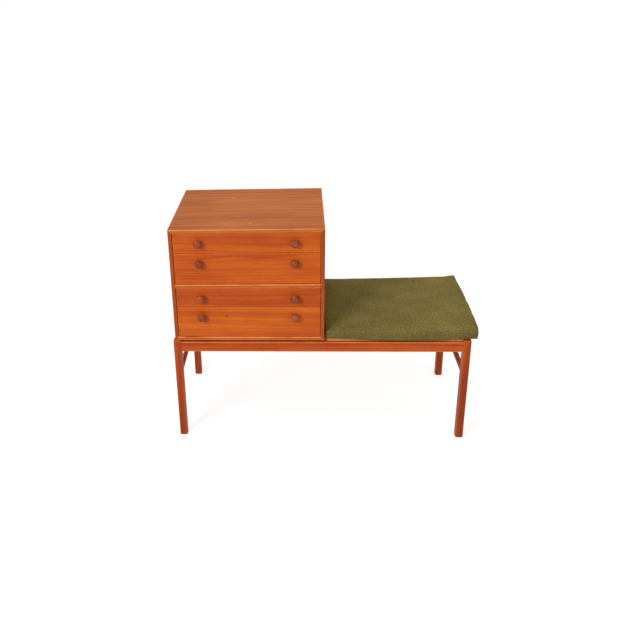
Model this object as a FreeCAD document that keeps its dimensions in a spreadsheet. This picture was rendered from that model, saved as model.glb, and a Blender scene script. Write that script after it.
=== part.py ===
"""A telephone bench in teak: a chest of four drawers and a loose cushion, side by side on one low frame.

The frame has four straight legs, tenoned rails a little below the leg tops, two cross rails and a round
stretcher low down at each end. A plywood seat board lies on the rails beside the chest. The chest stands
on the left legs and the cross rails, which leaves a narrow shadow gap over the rails. It is a case of four
boards, mitred at its corners, with a fixed shelf half way up and a back let into a rebate. Each half of it
holds a shallow drawer over a deep one. The drawers hang on strips that are screwed to the case sides and
run in grooves of the drawer sides, and every drawer front carries two turned knobs.

Millimetres. X runs to the right, Y to the back and Z up. The origin is on the floor, in the middle of the
whole bench, with the knobs and the cushion's overhang counted.
"""

import FreeCAD, Part
import os
import re

import Sketcher

SIZES = {
    # The frame
    "frame_width": 950,
    "frame_depth": 442,
    "leg_height": 361,
    "leg_width": 25,
    "leg_depth": 28,
    "leg_corner_radius": 5,
    "foot_chamfer": 1.5,
    "leg_top_radius": 2,
    "rail_drop": 6,
    "rail_height": 34,
    "rail_thickness": 20,
    "rail_setback": 4,
    "rail_edge_radius": 4,
    "end_rail_setback": 3,
    "long_tenon": 14,
    "tenon_thickness": 8,
    "tenon_shoulder": 5,
    "tenon_clearance": 1,
    "stretcher_diameter": 17,
    "stretcher_level": 235,
    "stretcher_tenon_diameter": 12,
    "stretcher_tenon": 14,
    "cross_rail_width": 46,
    "cross_rail_height": 22,
    "cross_rail_tenon": 6,
    "cross_rail_seat_side": 18,
    "case_cross_rail_offset": 80,
    "seat_lap": 8,
    "seat_board_clearance": 1,
    # The case
    "case_width": 481,
    "case_height": 377,
    "case_inset": 6.5,
    "case_setback": 5,
    "case_rear_setback": 1,
    "panel_thickness": 12,
    "panel_edge_radius": 3,
    "shelf_thickness": 13,
    "shelf_housing": 4,
    "shelf_housing_stop": 14,
    "back_thickness": 5,
    "back_rebate": 6,
    "back_inset": 2,
    "tongue_width": 10,
    "tongue_thickness": 3,
    "tongue_stop": 20,
    # The drawers
    "front_recess": 4,
    "front_gap": 1.2,
    "front_thickness": 16,
    "front_edge_radius": 1,
    "shallow_front_height": 64,
    "side_thickness": 10,
    "side_clearance": 2,
    "drawer_rear_gap": 13,
    "side_lift": 4,
    "side_drop": 6,
    "tail_length": 10,
    "groove_height": 10,
    "groove_depth": 6,
    "running_clearance": 0.3,
    "runner_stop_gap": 1,
    "bottom_thickness": 4,
    "bottom_lift": 7,
    "bottom_groove": 4,
    "drawer_back_thickness": 9,
    "drawer_back_drop": 3,
    "drawer_back_housing": 3,
    # The knobs
    "knob_diameter": 26,
    "knob_projection": 23,
    "knob_neck_diameter": 13,
    "knob_neck_length": 8,
    "knob_face_radius": 7,
    "knob_rear_radius": 4,
    "knob_throat_radius": 1.5,
    "knob_inset": 79,
    "knob_drop": 31,
    # The screws
    "knob_screw_length": 28,
    "frame_screw_length": 30,
    "small_screw_length": 14,
    "screw_shank_diameter": 3.5,
    "screw_head_diameter": 7,
    "screw_head_height": 2.4,
    "screw_point": 4,
    "frame_screw_margin": 60,
    "runner_screw_margin": 30,
    "back_screw_margin": 40,
    # The cushion
    "cushion_overhang": 22,
    "cushion_gap": 2,
    "cushion_setback": 4,
    "cushion_rear_setback": 2,
    "cushion_height_by_case": 31,
    "cushion_height_middle": 38,
    "cushion_height_free_end": 43,
    "cushion_crown": 5,
    "cushion_waist": 18,
    "cushion_foot_draw": 1.5,
    "cushion_brow_draw": 4,
    "cushion_front_bow": 11,
    "cushion_rear_bow": 5,
    "cushion_end_bow": 5,
    "cover_thickness": 1.5,
    "cushion_clearance": 0.3,
}

# Places and sizes that follow from the driving ones
DERIVED = {
    "left": "-(frame_width + cushion_overhang) / 2",
    "right": "left + frame_width",
    "front": "-(frame_depth + case_setback + front_recess - knob_projection) / 2",
    "rear": "front + frame_depth",
    "rail_top": "leg_height - rail_drop",
    "rail_level": "rail_top - rail_height",
    "front_rail_y": "front + rail_setback",
    "rear_rail_y": "rear - rail_setback - rail_thickness",
    "end_tenon": "leg_depth - rail_setback - (rail_thickness + tenon_thickness) / 2 - tenon_clearance",
    "between_legs_x": "frame_width - 2 * leg_width",
    "between_legs_y": "frame_depth - 2 * leg_depth",
    "between_rails_y": "rear_rail_y - front_rail_y - rail_thickness",
    "case_left": "left + case_inset",
    "case_right": "case_left + case_width",
    "case_front": "front + case_setback",
    "case_rear": "rear - case_rear_setback",
    "case_depth": "frame_depth - case_setback - case_rear_setback",
    "case_top": "leg_height + case_height",
    "inner_left": "case_left + panel_thickness",
    "inner_width": "case_width - 2 * panel_thickness",
    "bay_height": "(case_height - 2 * panel_thickness - shelf_thickness) / 2",
    "lower_floor": "leg_height + panel_thickness",
    "shelf_level": "lower_floor + bay_height",
    "upper_floor": "shelf_level + shelf_thickness",
    "deep_front_height": "bay_height - shallow_front_height - 3 * front_gap",
    "back_panel_y": "case_rear - back_inset - back_thickness",
    "front_face_y": "case_front + front_recess",
    "front_rear_y": "front_face_y + front_thickness",
    "front_width": "inner_width - 2 * front_gap",
    "front_left": "inner_left + front_gap",
    "box_left": "inner_left + side_clearance",
    "box_width": "inner_width - 2 * side_clearance",
    "box_rear_y": "back_panel_y - drawer_rear_gap",
    "side_length": "box_rear_y - front_rear_y",
    "bottom_overall_y": "side_length + bottom_groove",
    "runner_thickness": "side_clearance + groove_depth - running_clearance",
    "runner_height": "groove_height - 2 * running_clearance",
    "runner_length": "side_length - runner_stop_gap",
    "case_cross_rail_x": "case_left + case_cross_rail_offset",
    "seat_cross_rail_x": "case_right + cross_rail_seat_side - cross_rail_width",
    "seat_board_left": "case_right + cross_rail_seat_side - seat_lap",
    "seat_board_right": "right - end_rail_setback - rail_thickness + seat_lap",
    "seat_board_y": "front_rail_y + rail_thickness - seat_lap",
    "seat_board_depth": "between_rails_y + 2 * seat_lap",
    "cushion_left": "case_right + cushion_gap",
    "cushion_right": "right + cushion_overhang",
    "cushion_front": "front + cushion_setback",
    "cushion_rear": "rear - cushion_rear_setback",
    "cushion_floor": "leg_height + cushion_clearance",
}

# Every drawer side has so many dovetails, which take these shares of their pitch at tip and root
SHALLOW_TAIL_COUNT = 2
DEEP_TAIL_COUNT = 3
TAIL_TIP_SHARE = 0.68
TAIL_ROOT_SHARE = 0.5

# Each drawer, from the top down: its floor level, the height of its front, its dovetails
DRAWERS = (
    (
        "drawer_1",
        "upper_floor + 2 * front_gap + deep_front_height",
        "shallow_front_height",
        SHALLOW_TAIL_COUNT,
    ),
    ("drawer_2", "upper_floor + front_gap", "deep_front_height", DEEP_TAIL_COUNT),
    (
        "drawer_3",
        "lower_floor + 2 * front_gap + deep_front_height",
        "shallow_front_height",
        SHALLOW_TAIL_COUNT,
    ),
    ("drawer_4", "lower_floor + front_gap", "deep_front_height", DEEP_TAIL_COUNT),
)

# How far the slices that crown the cushion reach past its sides
CROWN_MARGIN = 5

# Edges are picked by where they lie, to within this much
TOLERANCE = 1e-4

doc = FreeCAD.newDocument("telephone_bench")
sheet = doc.addObject("Spreadsheet::Sheet", "sizes")
for row, (alias, number) in enumerate(SIZES.items(), 1):
    sheet.set(f"A{row}", alias)
    sheet.set(f"B{row}", str(number))
    sheet.setAlias(f"B{row}", alias)
doc.recompute()

finished = []


def formula(text):
    """A formula of size names, written out in the sheet's aliases."""

    def spell(match):
        word = match.group(0)
        if word in DERIVED:
            return "(" + formula(DERIVED[word]) + ")"
        return "sizes." + word if word in SIZES else word

    return re.sub(r"[a-z][a-z_0-9]*", spell, text)


def value(text):
    """What a formula of size names comes to, in millimetres."""
    return float(sheet.evalExpression(formula(text)))


def bind(thing, formulas):
    for path, text in formulas.items():
        thing.setExpression(path, formula(text))
    return thing


def place(thing, x, y, z, turn=None):
    if turn is not None:
        thing.Placement = FreeCAD.Placement(FreeCAD.Vector(), turn)
    return bind(thing, {"Placement.Base.x": x, "Placement.Base.y": y, "Placement.Base.z": z})


def box(name, length, width, height, x, y, z):
    block = doc.addObject("Part::Box", name)
    bind(block, {"Length": length, "Width": width, "Height": height})
    return place(block, x, y, z)


def fuse(name, *pieces):
    joined = doc.addObject("Part::MultiFuse", name)
    joined.Shapes = list(pieces)
    return joined


def group(name, pieces):
    held = doc.addObject("Part::Compound", name)
    held.Links = list(pieces)
    return held


def cut(name, base, *tools):
    """The base, less the mates and waste pieces that go through it."""
    made = doc.addObject("Part::Cut", name)
    made.Base = base
    made.Tool = tools[0] if len(tools) == 1 else group(name + "_tools", tools)
    return made


def finish(thing, label):
    """Names a finished piece of the bench."""
    thing.Label = label
    finished.append(thing)
    return thing


def sketch_on(body, role, points):
    """A closed outline on one of the body's own planes, every corner placed by two formulas."""
    plane = next(f for f in body.Origin.OriginFeatures if f.Role == role)
    sketch = body.newObject("Sketcher::SketchObject", body.Name + "_outline")
    sketch.AttachmentSupport = (plane, [""])
    sketch.MapMode = "FlatFace"
    count = len(points)
    corners = [FreeCAD.Vector(value(across), value(along), 0) for across, along in points]
    for k in range(count):
        sketch.addGeometry(Part.LineSegment(corners[k], corners[(k + 1) % count]))
    for k in range(count):
        sketch.addConstraint(Sketcher.Constraint("Coincident", k, 2, (k + 1) % count, 1))
    for k, (across, along) in enumerate(points):
        for kind, axis, text, place_now in (
            ("DistanceX", -2, across, corners[k].x),
            ("DistanceY", -1, along, corners[k].y),
        ):
            if text == "0":
                sketch.addConstraint(Sketcher.Constraint("PointOnObject", k, 1, axis))
            else:
                index = sketch.addConstraint(Sketcher.Constraint(kind, k, 1, place_now))
                sketch.setExpression(f"Constraints[{index}]", formula(text))
    return sketch


def padded_body(name, role, points, length):
    """A board or post: an outline padded along +X, +Y or +Z."""
    body = doc.addObject("PartDesign::Body", name)
    sketch = sketch_on(body, role, points)
    pad = body.newObject("PartDesign::Pad", name + "_pad")
    pad.Profile = sketch
    pad.Reversed = role == "XZ_Plane"
    bind(pad, {"Length": length})
    doc.recompute()
    return body


def turned_body(name, points):
    """A lathe-turned piece: an outline of radius and length, revolved about Y."""
    body = doc.addObject("PartDesign::Body", name)
    sketch = sketch_on(body, "XY_Plane", points)
    turned = body.newObject("PartDesign::Revolution", name + "_turning")
    turned.Profile = sketch
    turned.ReferenceAxis = (sketch, ["V_Axis"])
    turned.Angle = 360
    doc.recompute()
    return body


def soften(body, kind, radius, wanted):
    """Rounds or chamfers the edges of the body's tip that the test picks."""
    tip = body.Tip
    names = [f"Edge{k}" for k, edge in enumerate(tip.Shape.Edges, 1) if wanted(edge)]
    dressed = body.newObject("PartDesign::" + kind, f"{body.Name}_{kind}_{len(body.Group)}")
    dressed.Base = (tip, names)
    bind(dressed, {"Radius" if kind == "Fillet" else "Size": radius})
    doc.recompute()
    return body


def rectangle(width, height):
    return [("0", "0"), (width, "0"), (width, height), ("0", height)]


def runs_along(edge, axis):
    """Whether a straight edge runs along X, Y or Z (0, 1 or 2)."""
    if not isinstance(edge.Curve, Part.Line):
        return False
    way = edge.Vertexes[-1].Point - edge.Vertexes[0].Point
    return abs(abs(way[axis]) - way.Length) < TOLERANCE


def lies_at(edge, axis, level):
    return all(abs(v.Point[axis] - level) < TOLERANCE for v in edge.Vertexes)


def has_radius(edge, radius, level):
    """Whether a round edge of a turned piece has this radius and lies at this level along Y."""
    curve = edge.Curve
    if not isinstance(curve, Part.Circle):
        return False
    return abs(curve.Radius - radius) < TOLERANCE and abs(curve.Center.y - level) < TOLERANCE


def linked(name, source, x, y, z, turn):
    """One more of a repeated piece."""
    copy = doc.addObject("App::Link", name)
    copy.LinkedObject = source
    return place(copy, x, y, z, turn)


TO_FRONT = FreeCAD.Rotation(FreeCAD.Vector(0, 0, 1), 180)
TO_RIGHT = FreeCAD.Rotation(FreeCAD.Vector(0, 0, 1), -90)
TO_LEFT = FreeCAD.Rotation(FreeCAD.Vector(0, 0, 1), 90)
UPWARDS = FreeCAD.Rotation(FreeCAD.Vector(1, 0, 0), 90)
DOWNWARDS = FreeCAD.Rotation(FreeCAD.Vector(1, 0, 0), -90)


def screw_blank(name, length):
    """A countersunk wood screw, head at the origin, pointing along +Y."""
    head = "screw_head_diameter / 2"
    shank = "screw_shank_diameter / 2"
    return turned_body(
        name,
        [
            ("0", "0"),
            (head, "0"),
            (shank, "screw_head_height"),
            (shank, f"{length} - screw_point"),
            ("0", length),
        ],
    )


knob_screw_blank = screw_blank("knob_screw_blank", "knob_screw_length")
frame_screw_blank = screw_blank("frame_screw_blank", "frame_screw_length")
small_screw_blank = screw_blank("small_screw_blank", "small_screw_length")


def make_rail(name, along_x, x, y, with_round):
    """A rail between two legs, a stub tenon at each end, its outer upper edge rounded."""
    if along_x:
        length, tenon = "between_legs_x", "long_tenon"
        rail = padded_body(name + "_bar", "YZ_Plane", rectangle("rail_thickness", "rail_height"), length)
        tenons = box(
            name + "_tenons",
            f"{length} + 2 * {tenon}",
            "tenon_thickness",
            "rail_height - 2 * tenon_shoulder",
            f"{x} - {tenon}",
            f"{y} + (rail_thickness - tenon_thickness) / 2",
            "rail_level + tenon_shoulder",
        )
        axis, across = 0, 1
    else:
        length, tenon = "between_legs_y", "end_tenon"
        rail = padded_body(name + "_bar", "XZ_Plane", rectangle("rail_thickness", "rail_height"), length)
        tenons = box(
            name + "_tenons",
            "tenon_thickness",
            f"{length} + 2 * {tenon}",
            "rail_height - 2 * tenon_shoulder",
            f"{x} + (rail_thickness - tenon_thickness) / 2",
            f"{y} - {tenon}",
            "rail_level + tenon_shoulder",
        )
        axis, across = 1, 0
    outer = 0 if with_round == "low" else value("rail_thickness")
    soften(
        rail,
        "Fillet",
        "rail_edge_radius",
        lambda e: runs_along(e, axis) and lies_at(e, 2, value("rail_height")) and lies_at(e, across, outer),
    )
    place(rail, x, y, "rail_level")
    return fuse(name + "_with_tenons", rail, tenons)


def make_cross_rail(name, x):
    """A flat rail across the frame, flush with the leg tops, with stub tenons in the long rails."""
    bar = box(
        name + "_bar",
        "cross_rail_width",
        "between_rails_y",
        "cross_rail_height",
        x,
        "front_rail_y + rail_thickness",
        "leg_height - cross_rail_height",
    )
    tenons = box(
        name + "_tenons",
        "cross_rail_width - 2 * tenon_shoulder",
        "between_rails_y + 2 * cross_rail_tenon",
        "tenon_thickness",
        f"{x} + tenon_shoulder",
        "front_rail_y + rail_thickness - cross_rail_tenon",
        "leg_height - cross_rail_height + tenon_shoulder",
    )
    return fuse(name + "_with_tenons", bar, tenons)


def make_stretcher(name, x):
    """A round stretcher between the front and the rear leg of one end."""
    shank, tenon = "stretcher_diameter / 2", "stretcher_tenon_diameter / 2"
    overall = "between_legs_y + 2 * stretcher_tenon"
    bar = turned_body(
        name + "_bar",
        [
            ("0", "0"),
            (tenon, "0"),
            (tenon, "stretcher_tenon"),
            (shank, "stretcher_tenon"),
            (shank, f"{overall} - stretcher_tenon"),
            (tenon, f"{overall} - stretcher_tenon"),
            (tenon, overall),
            ("0", overall),
        ],
    )
    place(bar, x, "front + leg_depth - stretcher_tenon", "stretcher_level")
    return finish(bar, name)


def make_leg(name, x, y):
    """A straight leg with soft corners; the rails and the stretcher cut its mortises later."""
    post = padded_body(name + "_post", "XY_Plane", rectangle("leg_width", "leg_depth"), "leg_height")
    soften(post, "Fillet", "leg_corner_radius", lambda e: runs_along(e, 2))
    soften(post, "Chamfer", "foot_chamfer", lambda e: lies_at(e, 2, 0))
    soften(post, "Fillet", "leg_top_radius", lambda e: lies_at(e, 2, value("leg_height")))
    return place(post, x, y, "0")


def build_frame():
    seat_board = box(
        "seat_board_sheet",
        "seat_board_right - seat_board_left",
        "seat_board_depth",
        "rail_drop",
        "seat_board_left",
        "seat_board_y",
        "rail_top",
    )
    notches = [
        box(
            f"seat_board_notch_{end}",
            "leg_width",
            "leg_depth + seat_board_clearance",
            "rail_drop",
            "right - leg_width - seat_board_clearance",
            y,
            "rail_top",
        )
        for end, y in (("front", "front"), ("rear", "rear - leg_depth - seat_board_clearance"))
    ]
    seat_board = cut("seat_board_notched", seat_board, *notches)

    case_cross = make_cross_rail("case_cross_rail", "case_cross_rail_x")
    seat_cross = make_cross_rail("seat_cross_rail", "seat_cross_rail_x")
    rail_front = make_rail("rail_front", True, "left + leg_width", "front_rail_y", "low")
    rail_rear = make_rail("rail_rear", True, "left + leg_width", "rear_rail_y", "high")
    rail_left = make_rail("rail_left", False, "left + end_rail_setback", "front + leg_depth", "low")
    rail_right = make_rail(
        "rail_right", False, "right - end_rail_setback - rail_thickness", "front + leg_depth", "high"
    )
    stretcher_left = make_stretcher("stretcher_left", "left + leg_width / 2")
    stretcher_right = make_stretcher("stretcher_right", "right - leg_width / 2")

    case_screw_columns = (
        "case_cross_rail_x + cross_rail_width / 2",
        "case_right - panel_thickness - screw_head_diameter",
    )
    case_screw_rows = ("case_front + frame_screw_margin", "case_rear - frame_screw_margin")
    case_screws = [
        linked(f"case_screw_{k}", frame_screw_blank, x, y, "leg_height - cross_rail_height", UPWARDS)
        for k, (x, y) in enumerate((x, y) for x in case_screw_columns for y in case_screw_rows)
    ]
    seat_screw_ends = (
        "seat_board_left + frame_screw_margin",
        "(seat_board_left + seat_board_right) / 2",
        "seat_board_right - frame_screw_margin",
    )
    seat_screw_rows = (
        "seat_board_y + seat_lap / 2",
        "seat_board_y + seat_board_depth - seat_lap / 2",
    )
    seat_screws = [
        linked(f"seat_screw_{k}", frame_screw_blank, x, y, "leg_height", DOWNWARDS)
        for k, (x, y) in enumerate((x, y) for x in seat_screw_ends for y in seat_screw_rows)
    ]
    finish(group("frame_screw_set", case_screws + seat_screws), "frame_screws")

    finish(cut("seat_board_piece", seat_board, *seat_screws), "seat_board")
    per_rail = len(case_screw_rows)
    finish(cut("case_cross_rail_piece", case_cross, *case_screws[:per_rail]), "cross_rail_case")
    finish(cut("seat_cross_rail_piece", seat_cross, seat_board, *case_screws[per_rail:]), "cross_rail_seat")
    long_mates = (case_cross, seat_cross)
    finish(cut("rail_front_piece", rail_front, *long_mates, *seat_screws[0::2]), "rail_front")
    finish(cut("rail_rear_piece", rail_rear, *long_mates, *seat_screws[1::2]), "rail_rear")
    finish(rail_left, "rail_left")
    finish(rail_right, "rail_right")

    ends = (
        ("left", "left", rail_left, stretcher_left),
        ("right", "right - leg_width", rail_right, stretcher_right),
    )
    for end, x, rail, stretcher in ends:
        for side, y, long_rail in (
            ("front", "front", rail_front),
            ("rear", "rear - leg_depth", rail_rear),
        ):
            name = f"leg_{side}_{end}"
            post = make_leg(name, x, y)
            finish(cut(name + "_piece", post, long_rail, rail, stretcher), name)
    return case_screws


def mitred_panel(name, points, x, z):
    """One board of the case: mitred at both ends, its two front edges rounded."""
    panel = padded_body(name + "_board", "XZ_Plane", points, "case_depth")
    soften(
        panel,
        "Fillet",
        "panel_edge_radius",
        lambda e: lies_at(e, 1, 0) and e.Length > 2 * value("panel_thickness"),
    )
    return place(panel, x, "case_front", z)


def make_tongue(name, x, z, slope):
    """A loose tongue along one mitre, half of its width in either board."""
    tongue = doc.addObject("Part::Box", name)
    length = "case_depth - tongue_stop - back_inset - back_thickness"
    bind(tongue, {"Length": "tongue_width", "Width": length, "Height": "tongue_thickness"})
    return place(
        tongue,
        f"{x} - (tongue_width * cos({slope}) + tongue_thickness * sin({slope})) / 2",
        "case_front + tongue_stop",
        f"{z} + (tongue_width * sin({slope}) - tongue_thickness * cos({slope})) / 2",
        FreeCAD.Rotation(FreeCAD.Vector(0, 1, 0), slope),
    )


def build_case(case_screws, runner_screws):
    thick = "panel_thickness"
    wide, high = "case_width", "case_height"
    bottom = mitred_panel(
        "case_bottom",
        [("0", "0"), (wide, "0"), (f"{wide} - {thick}", thick), (thick, thick)],
        "case_left",
        "leg_height",
    )
    top = mitred_panel(
        "case_top",
        [(thick, "0"), (f"{wide} - {thick}", "0"), (wide, thick), ("0", thick)],
        "case_left",
        "case_top - panel_thickness",
    )
    left = mitred_panel(
        "case_side_left",
        [("0", "0"), (thick, thick), (thick, f"{high} - {thick}"), ("0", high)],
        "case_left",
        "leg_height",
    )
    right = mitred_panel(
        "case_side_right",
        [(thick, "0"), (thick, high), ("0", f"{high} - {thick}"), ("0", thick)],
        "case_right - panel_thickness",
        "leg_height",
    )

    # Each mitre's middle line, and which way its tongue leans across it
    half = "panel_thickness / 2"
    mitres = {
        "top_left": (f"case_left + {half}", f"case_top - {half}", -45),
        "top_right": (f"case_right - {half}", f"case_top - {half}", 45),
        "bottom_left": (f"case_left + {half}", f"leg_height + {half}", 45),
        "bottom_right": (f"case_right - {half}", f"leg_height + {half}", -45),
    }
    tongues = {corner: make_tongue("tongue_" + corner, *spot) for corner, spot in mitres.items()}
    finish(group("tongue_set", tongues.values()), "mitre_tongues")

    shelf = padded_body(
        "case_shelf_board",
        "XZ_Plane",
        rectangle("inner_width + 2 * shelf_housing", "shelf_thickness"),
        "case_depth - back_inset - back_thickness",
    )
    soften(shelf, "Fillet", "panel_edge_radius", lambda e: lies_at(e, 1, 0) and runs_along(e, 0))
    place(shelf, "inner_left - shelf_housing", "case_front", "shelf_level")
    stops = [
        box(
            f"shelf_stop_{end}",
            "shelf_housing",
            "shelf_housing_stop",
            "shelf_thickness",
            x,
            "case_front",
            "shelf_level",
        )
        for end, x in (("left", "inner_left - shelf_housing"), ("right", "inner_left + inner_width"))
    ]
    shelf = finish(cut("case_shelf_piece", shelf, *stops), "case_shelf")

    back_margin = "panel_thickness - back_rebate"
    back_width = f"(case_width - 2 * ({back_margin}))"
    back_height = f"(case_height - 2 * ({back_margin}))"
    rebate = box(
        "back_rebate_waste",
        back_width,
        "back_inset + back_thickness",
        back_height,
        f"case_left + {back_margin}",
        "back_panel_y",
        f"leg_height + {back_margin}",
    )
    back = box(
        "case_back_sheet",
        back_width,
        "back_thickness",
        back_height,
        f"case_left + {back_margin}",
        "back_panel_y",
        f"leg_height + {back_margin}",
    )
    rows = (
        f"leg_height + {back_margin} + back_rebate / 2",
        f"case_top - {back_margin} - back_rebate / 2",
    )
    columns = (
        "case_left + back_screw_margin",
        "case_left + case_width / 2",
        "case_right - back_screw_margin",
    )
    back_screws = [
        linked(f"back_screw_{k}", small_screw_blank, x, "back_panel_y + back_thickness", z, TO_FRONT)
        for k, (z, x) in enumerate((z, x) for z in rows for x in columns)
    ]
    finish(group("back_screw_set", back_screws), "back_screws")
    finish(cut("case_back_piece", back, *back_screws), "case_back")

    per_row = len(columns)
    for level, panel, holding in (
        ("bottom", bottom, case_screws + back_screws[:per_row]),
        ("top", top, back_screws[per_row:]),
    ):
        mates = (rebate, tongues[level + "_left"], tongues[level + "_right"])
        finish(cut(f"case_{level}_piece", panel, *mates, *holding), f"case_{level}")
    for side, panel in (("left", left), ("right", right)):
        mates = (rebate, tongues["top_" + side], tongues["bottom_" + side], shelf)
        finish(cut(f"case_side_{side}_piece", panel, *mates, *runner_screws[side]), f"case_side_{side}")


def groove_level(floor, front_height):
    """The lower edge of the groove, half way up the drawer side."""
    return f"({floor} + side_lift + ({front_height} - side_lift - side_drop - groove_height) / 2)"


def build_runners():
    """The strips that the drawers hang on, and their screws into the case sides."""
    screws = {"left": [], "right": []}
    right_face = "inner_left + inner_width - runner_thickness"
    for side, x, screw_x, turn in (
        ("left", "inner_left", "inner_left + runner_thickness", TO_LEFT),
        ("right", right_face, right_face, TO_RIGHT),
    ):
        strips = []
        for name, floor, front_height, _ in DRAWERS:
            level = groove_level(floor, front_height) + " + running_clearance"
            screw_level = f"{level} + runner_height / 2"
            strip = box(
                f"{name}_runner_{side}_strip",
                "runner_thickness",
                "runner_length",
                "runner_height",
                x,
                "front_rear_y + runner_stop_gap",
                level,
            )
            along = (
                "front_rear_y + runner_stop_gap + runner_screw_margin",
                "front_rear_y + runner_stop_gap + runner_length / 2",
                "front_rear_y + runner_stop_gap + runner_length - runner_screw_margin",
            )
            holding = [
                linked(f"{name}_runner_screw_{side}_{k}", small_screw_blank, screw_x, y, screw_level, turn)
                for k, y in enumerate(along)
            ]
            screws[side] += holding
            strips.append(cut(f"{name}_runner_{side}", strip, *holding))
        finish(group(f"runner_set_{side}", strips), f"runners_{side}")
    finish(group("runner_screw_set", screws["left"] + screws["right"]), "runner_screws")
    return screws


def dovetailed_outline(height, tail_count):
    """A drawer side seen from beside: its front end cut into dovetails, its rear end square."""
    points = []
    for k in range(tail_count):
        middle = (k + 0.5) / tail_count
        tip, root = TAIL_TIP_SHARE / 2 / tail_count, TAIL_ROOT_SHARE / 2 / tail_count
        for y, share in (
            ("tail_length", middle - root),
            ("0", middle - tip),
            ("0", middle + tip),
            ("tail_length", middle + root),
        ):
            points.append((y, f"({height}) * {share:.5f}"))
    end = "tail_length + side_length"
    return [("tail_length", "0")] + points + [("tail_length", height), (end, height), (end, "0")]


def make_knob(name, x, z, screw):
    """A turned knob: a round head on a short neck, bored for its screw."""
    head, neck = "knob_diameter / 2", "knob_neck_diameter / 2"
    knob = turned_body(
        name + "_turned",
        [
            ("0", "0"),
            (neck, "0"),
            (neck, "knob_neck_length"),
            (head, "knob_neck_length"),
            (head, "knob_projection"),
            ("0", "knob_projection"),
        ],
    )
    head_radius, neck_radius = value("knob_diameter") / 2, value("knob_neck_diameter") / 2
    throat, face = value("knob_neck_length"), value("knob_projection")
    soften(knob, "Fillet", "knob_face_radius", lambda e: has_radius(e, head_radius, face))
    soften(knob, "Fillet", "knob_rear_radius", lambda e: has_radius(e, head_radius, throat))
    soften(knob, "Fillet", "knob_throat_radius", lambda e: has_radius(e, neck_radius, throat))
    place(knob, x, "front_face_y", z, TO_FRONT)
    return finish(cut(name + "_bored", knob, screw), name)


def build_drawer(name, floor, front_height, tail_count):
    side_height = f"({front_height} - side_lift - side_drop)"
    side_level = f"{floor} + side_lift"
    tails_y = "front_rear_y - tail_length"
    bottom_level = f"{side_level} + bottom_lift"

    bottom = box(
        name + "_bottom_sheet",
        "box_width - 2 * side_thickness + 2 * bottom_groove",
        "bottom_overall_y",
        "bottom_thickness",
        "box_left + side_thickness - bottom_groove",
        "front_rear_y - bottom_groove",
        bottom_level,
    )
    finish(bottom, name + "_bottom")
    back = box(
        name + "_back_board",
        "box_width - 2 * side_thickness + 2 * drawer_back_housing",
        "drawer_back_thickness",
        f"{side_height} - bottom_lift - bottom_thickness - drawer_back_drop",
        "box_left + side_thickness - drawer_back_housing",
        "box_rear_y - 2 * drawer_back_thickness",
        f"{bottom_level} + bottom_thickness",
    )
    finish(back, name + "_back")

    sides = []
    box_right = "(box_left + box_width)"
    for side, x, groove_x in (
        ("left", "box_left", "box_left"),
        ("right", f"{box_right} - side_thickness", f"{box_right} - groove_depth"),
    ):
        outline = dovetailed_outline(side_height, tail_count)
        board = padded_body(f"{name}_side_{side}_board", "YZ_Plane", outline, "side_thickness")
        place(board, x, tails_y, side_level)
        groove = box(
            f"{name}_groove_{side}",
            "groove_depth",
            "side_length",
            "groove_height",
            groove_x,
            "front_rear_y",
            groove_level(floor, front_height),
        )
        piece = cut(f"{name}_side_{side}_piece", board, groove, bottom, back)
        sides.append(finish(piece, f"{name}_side_{side}"))

    knob_level = f"{floor} + {front_height} - knob_drop"
    knob_places = (
        ("left", "front_left + knob_inset"),
        ("right", "front_left + front_width - knob_inset"),
    )
    screws = [
        linked(f"{name}_knob_screw_{side}", knob_screw_blank, x, "front_rear_y", knob_level, TO_FRONT)
        for side, x in knob_places
    ]
    finish(group(name + "_knob_screw_pair", screws), name + "_knob_screws")
    for (side, x), screw in zip(knob_places, screws):
        make_knob(f"{name}_knob_{side}", x, knob_level, screw)

    outline = rectangle("front_width", front_height)
    face = padded_body(name + "_front_board", "XZ_Plane", outline, "front_thickness")
    soften(face, "Fillet", "front_edge_radius", lambda e: lies_at(e, 1, 0))
    place(face, "front_left", "front_face_y", floor)
    finish(cut(name + "_front_piece", face, *sides, bottom, *screws), name + "_front")


def bowed_edge(start, finish_point, bow):
    """An arc between two corners of a level outline, bowed out to its right hand side."""
    way = finish_point - start
    outwards = FreeCAD.Vector(way.y, -way.x, 0).normalize()
    return Part.Arc(start, (start + finish_point) / 2 + outwards * bow, finish_point).toShape()


def cushion_outline(draw, level):
    """A level slice of the cushion: four bowed edges, drawn in all round."""
    front_bow = value("cushion_front_bow")
    rear_bow = value("cushion_rear_bow")
    end_bow = value("cushion_end_bow")
    x_low = value("cushion_left") + end_bow + draw
    x_high = value("cushion_right") - end_bow - draw
    y_low = value("cushion_front") + front_bow + draw
    y_high = value("cushion_rear") - rear_bow - draw
    corners = [
        FreeCAD.Vector(x, y, level)
        for x, y in ((x_low, y_low), (x_high, y_low), (x_high, y_high), (x_low, y_high))
    ]
    bows = (front_bow, end_bow, rear_bow, end_bow)
    return Part.Wire([bowed_edge(corners[k], corners[(k + 1) % 4], bows[k]) for k in range(4)])


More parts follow.
